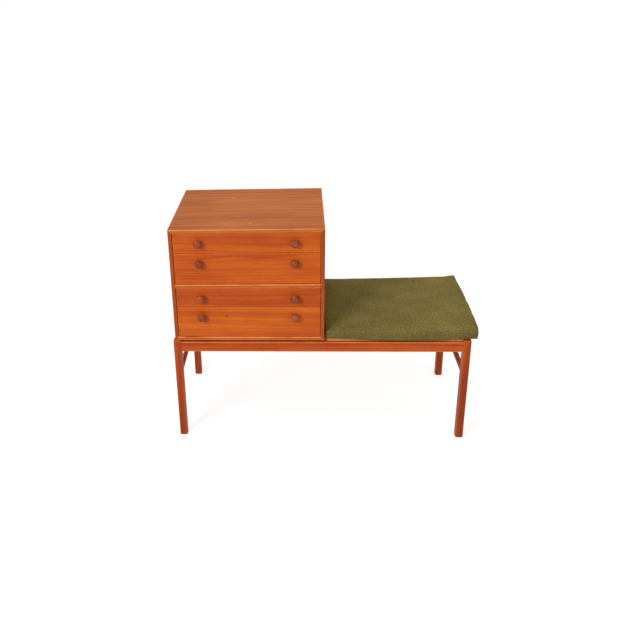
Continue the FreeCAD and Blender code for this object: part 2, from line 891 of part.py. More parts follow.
def crown_section(x, height, shrink):
    """An upright slice across the cushion, wider than it is, under its crowned top."""
    y_low, y_high = value("cushion_front") - CROWN_MARGIN, value("cushion_rear") + CROWN_MARGIN
    floor = value("cushion_floor") + shrink
    shoulder = value("cushion_floor") + height - shrink
    corners = [
        FreeCAD.Vector(x, y, z)
        for y, z in ((y_low, floor), (y_high, floor), (y_high, shoulder), (y_low, shoulder))
    ]
    summit = FreeCAD.Vector(x, (y_low + y_high) / 2, shoulder + value("cushion_crown"))
    return Part.Wire(
        [
            Part.LineSegment(corners[0], corners[1]).toShape(),
            Part.LineSegment(corners[1], corners[2]).toShape(),
            Part.Arc(corners[2], summit, corners[3]).toShape(),
            Part.LineSegment(corners[3], corners[0]).toShape(),
        ]
    )


def cushion_form(shrink):
    """The cushion's outer form, or the same form taken in by the cover's thickness.

    Its drawn-in sides come from three level outlines, and its top from upright slices: low beside the
    case, where the cushion is tucked in, and fuller from its middle on.
    """
    heights = [
        value(name)
        for name in ("cushion_height_by_case", "cushion_height_middle", "cushion_height_free_end")
    ]
    floor = value("cushion_floor")
    brow = floor + max(heights) + value("cushion_crown") + CROWN_MARGIN
    outlines = [
        cushion_outline(value("cushion_foot_draw") + shrink, floor + shrink),
        cushion_outline(shrink, floor + value("cushion_waist")),
        cushion_outline(value("cushion_brow_draw") + shrink, brow),
    ]
    x_low, x_high = value("cushion_left") - CROWN_MARGIN, value("cushion_right") + CROWN_MARGIN
    stations = (x_low, (x_low + x_high) / 2, x_high)
    slices = [crown_section(x, height, shrink) for x, height in zip(stations, heights)]
    return Part.makeLoft(outlines, True).common(Part.makeLoft(slices, True))


def build_cushion():
    foam = doc.addObject("Part::Feature", "cushion_foam_piece")
    foam.Shape = cushion_form(value("cover_thickness"))
    cover = doc.addObject("Part::Feature", "cushion_cover_piece")
    cover.Shape = cushion_form(0).cut(foam.Shape)
    finish(foam, "cushion_foam")
    finish(cover, "cushion_cover")


case_screws = build_frame()
build_case(case_screws, build_runners())
for drawer in DRAWERS:
    build_drawer(*drawer)

build_cushion()

doc.recompute()
for thing in doc.Objects:
    if {"Invalid", "Error"} & set(thing.State):
        raise RuntimeError(f"{thing.Name} failed: {thing.State}")
for piece in finished:
    if piece.Shape.isNull() or not piece.Shape.isValid() or not piece.Shape.Solids:
        raise RuntimeError(f"{piece.Label} has no sound solid")

os.makedirs("parts", exist_ok=True)
for piece in finished:
    solids = piece.Shape.Solids
    shape = solids[0] if len(solids) == 1 else Part.makeCompound(solids)
    shape.exportStep(f"parts/{piece.Label}.step")
print(len(finished), "pieces written")
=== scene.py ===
"""The looks of a teak telephone bench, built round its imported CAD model. Metres, in the model's own frame."""

import math

import bmesh
import bpy
import numpy as np
from mathutils import Matrix, Vector


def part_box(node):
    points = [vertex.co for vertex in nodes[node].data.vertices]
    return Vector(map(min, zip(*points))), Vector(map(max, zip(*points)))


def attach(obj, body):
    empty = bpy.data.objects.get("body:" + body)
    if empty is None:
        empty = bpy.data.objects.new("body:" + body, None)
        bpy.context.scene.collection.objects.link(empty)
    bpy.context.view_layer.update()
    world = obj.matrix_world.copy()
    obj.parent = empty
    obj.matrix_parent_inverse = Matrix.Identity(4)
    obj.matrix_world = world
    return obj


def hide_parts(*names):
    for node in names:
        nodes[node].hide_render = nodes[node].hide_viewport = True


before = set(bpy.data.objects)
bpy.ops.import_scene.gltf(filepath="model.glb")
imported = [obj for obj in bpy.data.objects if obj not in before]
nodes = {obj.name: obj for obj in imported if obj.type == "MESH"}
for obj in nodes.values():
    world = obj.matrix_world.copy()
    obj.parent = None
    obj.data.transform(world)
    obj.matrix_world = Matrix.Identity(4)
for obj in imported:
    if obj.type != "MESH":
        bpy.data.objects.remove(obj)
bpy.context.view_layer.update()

# ---------------------------------------------------------------------------------------------
# The camera stands in front of the bench, a little to its left and well above the seat, and looks
# down at it. Its place and lens were fitted to the corners of the bench.
CAMERA_PLACE = (-0.0732, -2.4050, 1.4994)
CAMERA_YAW, CAMERA_PITCH, CAMERA_ROLL = (math.radians(angle) for angle in (-4.94, 23.85, 2.19))
CAMERA_LENS, CAMERA_SENSOR = 43.19, 36.0
CAMERA_SHIFT = (0.125, -0.0408)
CAMERA_REACH = 100

forward = Vector(
    (
        math.sin(CAMERA_YAW) * math.cos(CAMERA_PITCH),
        math.cos(CAMERA_YAW) * math.cos(CAMERA_PITCH),
        -math.sin(CAMERA_PITCH),
    )
)
level = Vector((math.cos(CAMERA_YAW), -math.sin(CAMERA_YAW), 0))
under = forward.cross(level)
right = level * math.cos(CAMERA_ROLL) + under * math.sin(CAMERA_ROLL)
upward = level * math.sin(CAMERA_ROLL) - under * math.cos(CAMERA_ROLL)
lens = bpy.data.cameras.new("camera")
lens.lens, lens.sensor_width = CAMERA_LENS, CAMERA_SENSOR
lens.shift_x, lens.shift_y = CAMERA_SHIFT
lens.clip_end = CAMERA_REACH
camera = bpy.data.objects.new("camera", lens)
aim = Matrix((right, upward, -forward)).transposed().to_4x4()
camera.matrix_world = Matrix.Translation(CAMERA_PLACE) @ aim
bpy.context.scene.collection.objects.link(camera)
bpy.context.scene.camera = camera


# ---------------------------------------------------------------------------------------------
# The legs, rails and stretchers are solid teak, oiled: straight grain along each piece, fine dark pores,
# and paler arrises, partly worn and partly a painted highlight. The legs are a shade redder than the rails.
class Socket:
    """A socket in a tree of nodes. Python's signs on it add Math nodes, and node() adds any other."""

    def __init__(self, tree, end=None):
        self.tree = tree
        self.end = end

    def node(self, kind, settings=None, sockets=None, out=0):
        """Adds a node: its settings first, then the values or links of its sockets."""
        made = self.tree.nodes.new(kind)
        for key, setting in (settings or {}).items():
            if key == "stops":
                stops = made.color_ramp.elements
                stops.remove(stops[1])
                stops[0].position, stops[0].color = setting[0]
                for position, shade in setting[1:]:
                    stops.new(position).color = shade
            else:
                setattr(made, key, setting)
        for key, filling in (sockets or {}).items():
            if isinstance(filling, Socket):
                self.tree.links.new(filling.end, made.inputs[key])
            else:
                made.inputs[key].default_value = filling
        if isinstance(out, tuple):
            return [Socket(self.tree, made.outputs[k]) for k in out]
        return None if out is None else Socket(self.tree, made.outputs[out])

    def reckon(self, operation, *others, out=0):
        """A Math node on this socket, or a Vector Math node where it holds a vector."""
        vector = self.end.type == "VECTOR"
        filled = {0: self}
        for k, other in enumerate(others, 1):
            plain = isinstance(other, (int, float))
            filled[k] = (other,) * 3 if vector and plain else other
        kind = "ShaderNodeVectorMath" if vector else "ShaderNodeMath"
        return self.node(kind, {"operation": operation}, filled, out)

    def __add__(self, other):
        return self.reckon("ADD", other)

    __radd__ = __add__

    def __sub__(self, other):
        return self.reckon("SUBTRACT", other)

    def __rsub__(self, other):
        return self.reckon("MULTIPLY", -1.0) + other

    def __mul__(self, other):
        return self.reckon("MULTIPLY", other)

    __rmul__ = __mul__

    def __truediv__(self, other):
        return self.reckon("DIVIDE", other)

    def between(self, low, high):
        """Rises smoothly from 0 at one value to 1 at the other."""
        settings = {"interpolation_type": "SMOOTHSTEP"}
        return self.node("ShaderNodeMapRange", settings, {"Value": self, "From Min": low, "From Max": high})

    def choose(self, first, second, way="MIX"):
        """Two colours mixed by this value: the first at 0, the second at 1."""
        settings = {"data_type": "RGBA", "blend_type": way}
        return self.node("ShaderNodeMix", settings, {0: self, 6: first, 7: second}, 2)

    def parts(self, *which):
        """Numbers of this vector: 0 is its X, 1 its Y and 2 its Z."""
        return self.node("ShaderNodeSeparateXYZ", None, {0: self}, which)

    def join(self, x, y, z):
        """A vector of three values or sockets, in this socket's tree."""
        return self.node("ShaderNodeCombineXYZ", None, {0: x, 1: y, 2: z})

    def ramp(self, places, tones):
        """A colour for this value, from tones that stand at places between 0 and 1."""
        return self.node("ShaderNodeValToRGB", {"stops": list(zip(places, tones))}, {0: self})

    def noise(self, detail=2.0, roughness=0.5, out="Fac"):
        """Noise at this place, or along this value, at one grain to the unit."""
        sockets = {"Scale": 1.0, "Detail": detail, "Roughness": roughness}
        if self.end.type == "VECTOR":
            return self.node("ShaderNodeTexNoise", None, {"Vector": self, **sockets}, out)
        return self.node("ShaderNodeTexNoise", {"noise_dimensions": "1D"}, {"W": self, **sockets}, out)


def tint(red, green, blue):
    """A colour as a screen shows it, from 0 to 255, as the shader wants it."""
    shares = [part / 255 for part in (red, green, blue)]
    return tuple(s / 12.92 if s <= 0.04045 else ((s + 0.055) / 1.055) ** 2.4 for s in shares) + (1.0,)


def new_finish(name):
    """An empty material, and the socket that its pattern starts from."""
    material = bpy.data.materials.new(name)
    material.use_nodes = True
    material.node_tree.nodes.clear()
    return material, Socket(material.node_tree).node("ShaderNodeTexCoord", out="Object")


def coat(shade, roughness, height, depth, shine=0.25, metal=0.0):
    """Ends a material: its shade, its roughness and its relief, depth metres high."""
    relief = height.node("ShaderNodeBump", None, {"Height": height, "Distance": depth})
    sockets = {"Base Color": shade, "Roughness": roughness, "Normal": relief}
    sockets.update({"Specular IOR Level": shine, "Metallic": metal})
    body = height.node("ShaderNodeBsdfPrincipled", None, sockets)
    body.node("ShaderNodeOutputMaterial", None, {"Surface": body}, None)


TEAK_RING, BEECH_RING = 0.003, 0.005
WOOD_STOPS = (0.26, 0.42, 0.55, 0.72)
# How near an arris the wood starts to turn paler, and where it is wholly paler: wear and painted highlight.
WEAR_AND_SHEEN_FROM, WEAR_AND_SHEEN_WHOLLY = 0.0042, 0.0012


def wood(
    name, grain, tones, heart, lean=(0, 0), ring=TEAK_RING, pores=0.6, wear_and_sheen=0.6, seed=0, marks=(), figure=0.32
):
    """Finishes a node as sawn wood. Its fibres run along one axis and its rings lie round a heart line
    that may lean; figure says how strongly they show. Its tones go from the darkest ring to the pale of
    the arrises, which is partly wear and partly a painted highlight."""
    material, spot = new_finish(name)
    places = spot.parts(0, 1, 2)
    low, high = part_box(name)
    near = [(p - low[k]).reckon("MINIMUM", high[k] - p) for k, p in enumerate(places)]
    along = places.pop(grain)
    flank, depth = places
    lie = spot.join(along + seed, flank, depth)

    sway = (lie * (2.2, 9, 9)).noise(2, 0.5, "Color")
    sways = spot.node("ShaderNodeSeparateColor", None, {0: sway}, (0, 1))
    flank_off, depth_off = (
        p - at - along * slope + (shift - 0.5) * 0.012
        for p, at, slope, shift in zip((flank, depth), heart, lean, sways)
    )
    rings = (flank_off * flank_off + depth_off * depth_off).reckon("SQRT")
    bands = (rings / ring + seed).noise(3, 0.55)
    broad = (rings / (ring * 5) + seed * 3).noise(2, 0.5)
    streaks = (lie * (4, 300, 300)).noise(3, 0.6)
    fibres = (lie * (26, 1700, 1700)).noise(2, 0.6)
    cloud = (lie * (4, 17, 17)).noise(2, 0.55)
    tone = bands * figure + broad * 0.42 + streaks * 0.26 + fibres * 0.14 + cloud * 0.50
    shade = (tone - (figure + 0.32) / 2).ramp(WOOD_STOPS, tones)

    pits = (lie * (55, 2100, 2100)).noise(1, 0.5).between(0.60, 0.70) * pores
    shade = pits.choose(shade, tones[0])
    a, b, c = near
    edge = a.reckon("MINIMUM", b).reckon("MAXIMUM", a.reckon("MAXIMUM", b).reckon("MINIMUM", c))
    patchy = (lie * (14, 60, 60)).noise(2, 0.6).between(0.15, 0.55)
    # Near the arrises the wood turns paler and smoother: partly wear, partly a painted highlight where they
    # catch the light.
    wear_and_sheen_mask = edge.between(WEAR_AND_SHEEN_FROM, WEAR_AND_SHEEN_WHOLLY) * patchy * wear_and_sheen
    shade = wear_and_sheen_mask.choose(shade, tones[4])
    for centre, radii, dark in marks:
        away = ((spot - centre) / radii).reckon("LENGTH", out="Value")
        shade = (away + fibres * 0.3 + streaks * 0.6).between(1.45, 0.70).choose(shade, dark)
    coat(shade, 0.38 + fibres * 0.14 + cloud * 0.08 - wear_and_sheen_mask * 0.12, fibres - pits * 1.5, 0.0001)
    nodes[name].material_slots[0].material = material


# The last tone of each set is the pale of the arrises: wear together with a painted highlight.
FRAME_TONES = (tint(150, 52, 6), tint(178, 68, 8), tint(194, 82, 14), tint(212, 102, 30), tint(222, 130, 64))
LEG_TONES = (tint(122, 42, 6), tint(152, 56, 8), tint(172, 68, 12), tint(196, 92, 30), tint(208, 114, 56))
ALONG_X, ALONG_Y, ALONG_Z = 0, 1, 2
LEGS = {
    "leg_front_left": (-0.50, -0.26),
    "leg_front_right": (0.47, -0.16),
    "leg_rear_left": (-0.44, 0.27),
    "leg_rear_right": (0.42, 0.20),
}
for count, (name, heart) in enumerate(LEGS.items()):
    wood(name, ALONG_Z, LEG_TONES, heart, lean=(0.01, 0.015), seed=3 * count)
# A small dark spot on the front rail's top edge, right under the corner where the case meets the cushion.
RAIL_DARK_SPOT = ((0.0, -0.2095, 0.3545), (0.0040, 0.004, 0.0012), tint(70, 24, 12))
LONG_RAILS = {"rail_front": (-0.13, 0.30), "rail_rear": (0.30, 0.36)}
for count, (name, heart) in enumerate(LONG_RAILS.items()):
    marks = [RAIL_DARK_SPOT] if name == "rail_front" else []
    wood(name, ALONG_X, FRAME_TONES, heart, lean=(0.004, 0.003), wear_and_sheen=0.9, seed=20 + count, marks=marks)
CROSSWISE = {
    "rail_left": (-0.52, 0.33),
    "rail_right": (0.50, 0.35),
    "stretcher_left": (-0.46, 0.22),
    "stretcher_right": (0.47, 0.25),
}
for count, (name, heart) in enumerate(CROSSWISE.items()):
    wood(name, ALONG_Y, LEG_TONES, heart, lean=(0.01, 0.01), seed=30 + count)

# ---------------------------------------------------------------------------------------------
# The cross rails, the strips that the drawers hang on and the tongues in the mitres are beech:
# pale pinkish wood with short dark flecks, left bare because nobody sees it.
BEECH_TONES = (
    tint(190, 138, 90), tint(212, 164, 114), tint(220, 176, 128), tint(230, 192, 148), tint(232, 200, 162)
)
BEECH_LOOK = {"ring": BEECH_RING, "pores": 0.35, "figure": 0.14}
BEECH = {
    "cross_rail_case": (ALONG_Y, (-0.37, 0.30)),
    "cross_rail_seat": (ALONG_Y, (0.02, 0.40)),
    "runners_left": (ALONG_Y, (-0.50, 0.50)),
    "runners_right": (ALONG_Y, (0.04, 0.52)),
    "mitre_tongues": (ALONG_Y, (-0.24, 0.50)),
}
for count, (name, (grain, heart)) in enumerate(BEECH.items()):
    wood(name, grain, BEECH_TONES, heart, wear_and_sheen=0.2, seed=50 + count, **BEECH_LOOK)


# ---------------------------------------------------------------------------------------------
# The seat board lies on the rails under the cushion. It is thin plywood: pale veneers laid
# crosswise, so that its edges show as fine light and dark lines.
FACE_SHARE = 0.2
PLYWOOD_STOPS = (0.30, 0.45, 0.58, 0.72)


def plywood(name, across, plies, tones, seed):
    """Finishes a node as veneers laid crosswise: across is the axis of its thickness, plies how many
    there are, and its faces lie FACE_SHARE of a ply inside the outer ones, clear of the dark glue."""
    material, spot = new_finish(name)
    places = spot.parts(0, 1, 2)
    low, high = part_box(name)
    plies_to_metre = (plies - 2 * FACE_SHARE) / (high[across] - low[across])
    layer = (places[across] - low[across]) * plies_to_metre + FACE_SHARE
    turned = (layer.reckon("FLOOR") * 0.5).reckon("FRACT") * 2
    first, second = (places[k] for k in range(3) if k != across)
    ways = (spot.join(first + seed, second * 30, layer), spot.join(first * 30 + seed, second, layer))
    veneers = [(way * 1.6).noise(3, 0.6) * 0.6 + (way * 7).noise(4, 0.65) * 0.5 - 0.05 for way in ways]
    tone = veneers[0] * (1 - turned) + veneers[1] * turned
    glue = (layer.reckon("FRACT") - 0.5).reckon("ABSOLUTE").between(0.44, 0.50)
    shade = glue.choose((tone - turned * 0.10).ramp(PLYWOOD_STOPS, tones), tones[0])
    coat(shade, 0.62 + tone * 0.1, tone, 0.00012)
    nodes[name].material_slots[0].material = material


PLYWOOD_TONES = (tint(178, 120, 70), tint(206, 150, 96), tint(218, 165, 110), tint(230, 184, 134))
plywood("seat_board", ALONG_Z, 5, PLYWOOD_TONES, seed=1)

# ---------------------------------------------------------------------------------------------
# The case is four teak boards mitred together round a fixed shelf, with the grain running on
# round the corners. Its top has browner, hazier tones of its own, a painted sheen of the light
# reflected off it, and carries a few pale scuffs.
CASE_TONES = (tint(150, 60, 6), tint(182, 78, 10), tint(198, 92, 20), tint(214, 114, 40), tint(238, 150, 86))
SIDE_TONES = (tint(120, 44, 6), tint(150, 60, 10), tint(168, 72, 14), tint(190, 94, 32), tint(206, 116, 60))
# The top's tones are browner and hazier than the case's: painted sheen of light reflected off the top.
TOP_SHEEN_TONES = (tint(160, 78, 20), tint(184, 94, 28), tint(200, 108, 38), tint(214, 126, 54), tint(238, 152, 86))
SCUFF = tint(222, 144, 76)
TOP_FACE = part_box("case_top")[1].z
TOP_SCUFFS = [
    ((-0.300, 0.120, TOP_FACE), (0.010, 0.006, 0.01), SCUFF),
    ((-0.228, -0.150, TOP_FACE), (0.007, 0.010, 0.01), SCUFF),
    ((-0.080, 0.060, TOP_FACE), (0.004, 0.005, 0.01), SCUFF),
]
# The bottom and the shelf get the most of the paler arrises (wear and painted highlight), the top less and the
# upright sides least.
CASE_BOARDS = {
    "case_top": (ALONG_X, TOP_SHEEN_TONES, (0.08, 0.64), 0.6, TOP_SCUFFS),
    "case_bottom": (ALONG_X, CASE_TONES, (0.05, 0.30), 1.0, []),
    "case_shelf": (ALONG_X, CASE_TONES, (0.02, 0.50), 1.0, []),
    "case_side_left": (ALONG_Z, SIDE_TONES, (-0.40, 0.05), 0.3, []),
    "case_side_right": (ALONG_Z, SIDE_TONES, (-0.07, 0.02), 0.3, []),
}
for count, (name, (grain, tones, heart, wear_and_sheen, marks)) in enumerate(CASE_BOARDS.items()):
    lean, seed = (0.015, 0.01), 60 + count
    wood(name, grain, tones, heart, lean, pores=0.45, wear_and_sheen=wear_and_sheen, seed=seed, marks=marks)

BACK_TONES = (tint(150, 96, 54), tint(188, 134, 84), tint(206, 154, 102), tint(220, 174, 126))
plywood("case_back", ALONG_Y, 3, BACK_TONES, seed=2)

# ---------------------------------------------------------------------------------------------
# The drawer fronts are teak too, brighter than the case, with their grain level. The two upper
# ones are cut from one board, with its wild grain where they meet; the lowest has a small knot.
DRAWERS = range(1, 5)
FRONT_TONES = (tint(168, 62, 4), tint(188, 78, 8), tint(204, 92, 14), tint(218, 110, 28), tint(224, 122, 48))
RED_FRONT_TONES = (
    tint(150, 52, 4), tint(174, 66, 8), tint(192, 80, 14), tint(208, 98, 26), tint(216, 112, 44)
)
FRONT_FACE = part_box("drawer_1_front")[0].y
FRONT_KNOT = [
    ((-0.3105, FRONT_FACE, 0.4475), (0.0050, 0.004, 0.0026), tint(110, 36, 10)),
    ((-0.3075, FRONT_FACE, 0.4440), (0.0022, 0.004, 0.0034), tint(70, 22, 8)),
]
WILD_GRAIN = [
    ((-0.250, FRONT_FACE, 0.6500), (0.190, 0.01, 0.0085), tint(184, 70, 8)),
    ((-0.180, FRONT_FACE, 0.6440), (0.075, 0.01, 0.0022), tint(160, 56, 6)),
    ((-0.330, FRONT_FACE, 0.6480), (0.060, 0.01, 0.0018), tint(164, 58, 6)),
    ((-0.120, FRONT_FACE, 0.6500), (0.060, 0.01, 0.0018), tint(164, 58, 6)),
]
RED_STREAKS = [((-0.240, FRONT_FACE, 0.4860), (0.170, 0.01, 0.0050), tint(176, 64, 8))]
FRONTS = {
    "drawer_1_front": (FRONT_TONES, (-0.175, 0.646), 71, []),
    "drawer_2_front": (FRONT_TONES, (-0.175, 0.646), 71, WILD_GRAIN),
    "drawer_3_front": (RED_FRONT_TONES, (-0.110, 0.590), 73, RED_STREAKS),
    "drawer_4_front": (FRONT_TONES, (-0.080, 0.330), 74, FRONT_KNOT),
}
for name, (tones, heart, seed, marks) in FRONTS.items():
    wood(name, ALONG_X, tones, heart, lean=(0.012, -0.008), pores=0.5, wear_and_sheen=0.3, seed=seed, marks=marks)

BOTTOM_TONES = (tint(176, 132, 88), tint(208, 166, 118), tint(222, 184, 138), tint(232, 200, 158))
DRAWER_LOOK = {**BEECH_LOOK, "lean": (0.01, 0.02), "wear_and_sheen": 0.3}
for drawer in DRAWERS:
    for side, heart in (("left", (-0.50, 0.40)), ("right", (0.03, 0.46))):
        wood(f"drawer_{drawer}_side_{side}", ALONG_Y, BEECH_TONES, heart, seed=80 + drawer, **DRAWER_LOOK)
    wood(f"drawer_{drawer}_back", ALONG_X, BEECH_TONES, (0.25, 0.40), seed=90 + drawer, **DRAWER_LOOK)
    plywood(f"drawer_{drawer}_bottom", ALONG_Z, 3, BOTTOM_TONES, seed=95 + drawer)


# ---------------------------------------------------------------------------------------------
# Every drawer has two knobs, turned from a darker, redder wood than the fronts: a short waisted neck
# and a domed head, rubbed smooth by hands.
def mesh_object(name, mesh):
    made = bpy.data.objects.new(name, mesh)
    bpy.context.scene.collection.objects.link(made)
    return made


def closed_mesh(name, shell):
    """What the shell holds as a mesh whose faces point outwards."""
    bmesh.ops.recalc_face_normals(shell, faces=shell.faces)
    mesh = bpy.data.meshes.new(name)
    shell.to_mesh(mesh)
    shell.free()
    return mesh


def circle(shell, radius, height, segments):
    """A ring of new points round Z."""
    turns = (2 * math.pi * k / segments for k in range(segments))
    return [shell.verts.new((radius * math.cos(a), radius * math.sin(a), height)) for a in turns]


def turned(name, profile, segments):
    """A lathe-turned piece round Z, from pairs of radius and height that start and end on its axis."""
    shell = bmesh.new()
    rings = []
    for radius, height in profile:
        if radius == 0:
            rings.append([shell.verts.new((0, 0, height))] * segments)
        else:
            rings.append(circle(shell, radius, height, segments))
    for lower, upper in zip(rings, rings[1:]):
        for k in range(segments):
            corners = (lower[k], lower[(k + 1) % segments], upper[(k + 1) % segments], upper[k])
            shell.faces.new(list(dict.fromkeys(corners)))
    mesh = closed_mesh(name, shell)
    mesh.shade_smooth()
    return mesh_object(name, mesh)


def new_tree(name, inputs):
    """A Geometry Nodes tree with its named inputs; gives the tree and one socket for each input."""
    tree = bpy.data.node_groups.new(name, "GeometryNodeTree")
    for label, kind in inputs:
        tree.interface.new_socket(name=label, in_out="INPUT", socket_type="NodeSocket" + kind)
    tree.interface.new_socket(name="Geometry", in_out="OUTPUT", socket_type="NodeSocketGeometry")
    count = tuple(range(len(inputs)))
    return tree, Socket(tree).node("NodeGroupInput", out=count)


def end_tree(shapes, finish):
    """Makes the repeated shapes real and gives them their finish."""
    real = shapes.node("GeometryNodeRealizeInstances", None, {"Geometry": shapes})
    coated = real.node("GeometryNodeSetMaterial", None, {"Geometry": real, "Material": finish})
    coated.node("NodeGroupOutput", None, {0: coated}, None)


def grown(name, start, tree, inputs):
    """What a tree makes of a starting mesh, as a plain mesh piece."""
    seedling = mesh_object(name + "_start", start)
    growth = seedling.modifiers.new("growth", "NODES")
    growth.node_group = tree
    sockets = {item.name: item.identifier for item in tree.interface.items_tree if item.in_out == "INPUT"}
    for label, filling in inputs.items():
        growth[sockets[label]] = filling
    ready = seedling.evaluated_get(bpy.context.evaluated_depsgraph_get())
    mesh = bpy.data.meshes.new_from_object(ready)
    mesh.name = name
    bpy.data.objects.remove(seedling)
    return mesh_object(name, mesh)


def repeated_tree():
    """Sets a piece on every point, its Z along the point's own direction, turned at random about it."""
    tree, (points, piece, seed, finish) = new_tree(
        "repeated", [("Points", "Geometry"), ("Piece", "Object"), ("Seed", "Int"), ("Finish", "Material")]
    )
    way = points.node("GeometryNodeInputNamedAttribute", {"data_type": "FLOAT_VECTOR"}, {0: "way"})
    aimed = way.node("FunctionNodeAlignRotationToVector", {"axis": "Z"}, {"Vector": way})
    limits = {2: 0.0, 3: 2 * math.pi, "Seed": seed}
    spin = seed.node("FunctionNodeRandomValue", {"data_type": "FLOAT"}, limits, 1)
    about = spin.join(0.0, 0.0, spin)
    about = about.node("FunctionNodeEulerToRotation", None, {0: about})
    shape = piece.node("GeometryNodeObjectInfo", None, {0: piece}, "Geometry")
    shapes = points.node(
        "GeometryNodeInstanceOnPoints", None, {"Points": points, "Instance": shape, "Rotation": aimed}
    )
    shapes = shapes.node("GeometryNodeRotateInstances", None, {"Instances": shapes, "Rotation": about})
    end_tree(shapes, finish)
    return tree


repeated = repeated_tree()


def directed_points(name, places):
    """Points with a direction each, for pieces to be set on."""
    mesh = bpy.data.meshes.new(name)
    mesh.from_pydata([place for place, _ in places], [], [])
    way = mesh.attributes.new("way", "FLOAT_VECTOR", "POINT")
    way.data.foreach_set("vector", [part for _, direction in places for part in direction])
    return mesh


def knob_finish():
    """Turned hardwood, seen on its end grain at the face and along its grain at the neck."""
    material, spot = new_finish("knob_wood")
    streaks = (spot * (500, 30, 500)).noise(3, 0.6)
    cloud = (spot * (60, 60, 60)).noise(2, 0.5)
    tone = streaks * 0.6 + cloud * 0.6 - 0.1
    tones = (tint(100, 34, 10), tint(138, 54, 20), tint(158, 70, 28), tint(180, 92, 46))
    shade = tone.ramp((0.30, 0.45, 0.58, 0.75), tones)
    coat(shade, 0.26 + streaks * 0.12, streaks, 0.00005, shine=0.35)
    return material


KNOB_RADIUS, KNOB_PROJECTION, KNOB_SEGMENTS = 0.013, 0.023, 48
KNOB_PROFILE = [
    (0.0, 0.0), (0.50, 0.0), (0.49, 0.10), (0.49, 0.21), (0.53, 0.31), (0.64, 0.38), (0.80, 0.43),
    (0.92, 0.50), (0.985, 0.58), (1.0, 0.65), (0.985, 0.73), (0.94, 0.805), (0.86, 0.87), (0.76, 0.92),
    (0.64, 0.957), (0.50, 0.982), (0.34, 0.994), (0.17, 0.999), (0.0, 1.0),
]
knob_profile = [(r * KNOB_RADIUS, h * KNOB_PROJECTION) for r, h in KNOB_PROFILE]
knob_shape = turned("knob_shape", knob_profile, KNOB_SEGMENTS)
knob_wood = knob_finish()
for drawer in DRAWERS:
    names = [f"drawer_{drawer}_knob_{side}" for side in ("left", "right")]
    places = []
    for name in names:
        low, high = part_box(name)
        places.append((((low.x + high.x) / 2, high.y, (low.z + high.z) / 2), (0, -1, 0)))
    start = directed_points(f"knob_places_{drawer}", places)
    inputs = {"Piece": knob_shape, "Seed": drawer, "Finish": knob_wood}
    knobs = grown(f"drawer_{drawer}_turned_knobs", start, repeated, inputs)
    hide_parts(*names)
    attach(knobs, f"drawer_{drawer}")
bpy.data.objects.remove(knob_shape)


# ---------------------------------------------------------------------------------------------
# Countersunk steel screws with a slot hold the chest, the seat board, the back, the strips and the
# knobs. Each is a head, a plain shank and a point, and no two slots line up.
SHANK_RADIUS, HEAD_RADIUS, HEAD_HEIGHT, POINT_HEIGHT = 0.00175, 0.0035, 0.0024, 0.004
SLOT_REACH, SLOT_HALF_WIDTH, SLOT_DEPTH = 0.0028, 0.00045, 0.0011
SCREW_SEGMENTS = 20


def slotted_screw(name, length):
    """A screw with its head at the origin, pointing along +Z, with a slot let into the head."""
    segments = SCREW_SEGMENTS
    shell = bmesh.new()
    outline = ((HEAD_RADIUS, 0), (SHANK_RADIUS, HEAD_HEIGHT), (SHANK_RADIUS, length - POINT_HEIGHT))
    rims = [circle(shell, radius, height, segments) for radius, height in outline]
    for lower, upper in zip(rims, rims[1:]):
        for k in range(segments):
            shell.faces.new((lower[k], lower[(k + 1) % segments], upper[(k + 1) % segments], upper[k]))
    tip = shell.verts.new((0, 0, length))
    for k in range(segments):
        shell.faces.new((rims[-1][k], rims[-1][(k + 1) % segments], tip))
    corners = ((-1, -1), (1, -1), (1, 1), (-1, 1))
    mouth, floor = (
        [shell.verts.new((x * SLOT_REACH, y * SLOT_HALF_WIDTH, height)) for x, y in corners]
        for height in (0, SLOT_DEPTH)
    )
    for k in range(4):
        shell.faces.new((mouth[k], mouth[(k + 1) % 4], floor[(k + 1) % 4], floor[k]))
    shell.faces.new(floor)
    rim_edges = [shell.edges.get((rims[0][k], rims[0][(k + 1) % segments])) for k in range(segments)]
    mouth_edges = [shell.edges.get((mouth[k], mouth[(k + 1) % 4])) for k in range(4)]
    bmesh.ops.triangle_fill(shell, edges=rim_edges + mouth_edges, use_beauty=True)
    return mesh_object(name, closed_mesh(name, shell))


def screw_places(node):
    """Where each screw of a CAD node has its head, and the way it points."""
    cloud = bmesh.new()
    cloud.from_mesh(nodes[node].data)
    bmesh.ops.remove_doubles(cloud, verts=cloud.verts, dist=1e-5)
    seen, found = set(), []
    for first in cloud.verts:
        if first in seen:
            continue
        island, edge = [], [first]
        seen.add(first)
        while edge:
            vertex = edge.pop()
            island.append(vertex.co.copy())
            for link in vertex.link_edges:
                other = link.other_vert(vertex)
                if other not in seen:
                    seen.add(other)
                    edge.append(other)
        corners = np.array(island)
        low, high = corners.min(0), corners.max(0)
        axis = int(np.argmax(high - low))
        middle = (low + high) / 2
        off_axis = np.delete(corners - middle, axis, 1)
        head = corners[int(np.argmax((off_axis**2).sum(1)))]
        way = np.zeros(3)
        way[axis] = 1.0 if head[axis] < middle[axis] else -1.0
        middle[axis] = head[axis]
        found.append((tuple(middle), tuple(way), float((high - low)[axis])))
    cloud.free()
    return found


def steel_finish():
    """Plain steel that has dulled, with a little rust in its scratches."""
    material, spot = new_finish("screw_steel")
    dull = (spot * (900, 900, 900)).noise(3, 0.6)
    shade = dull.between(0.55, 0.75).choose(tint(150, 146, 138), tint(112, 88, 66))
    coat(shade, 0.30 + dull * 0.25, dull, 0.00002, metal=1.0)
    return material


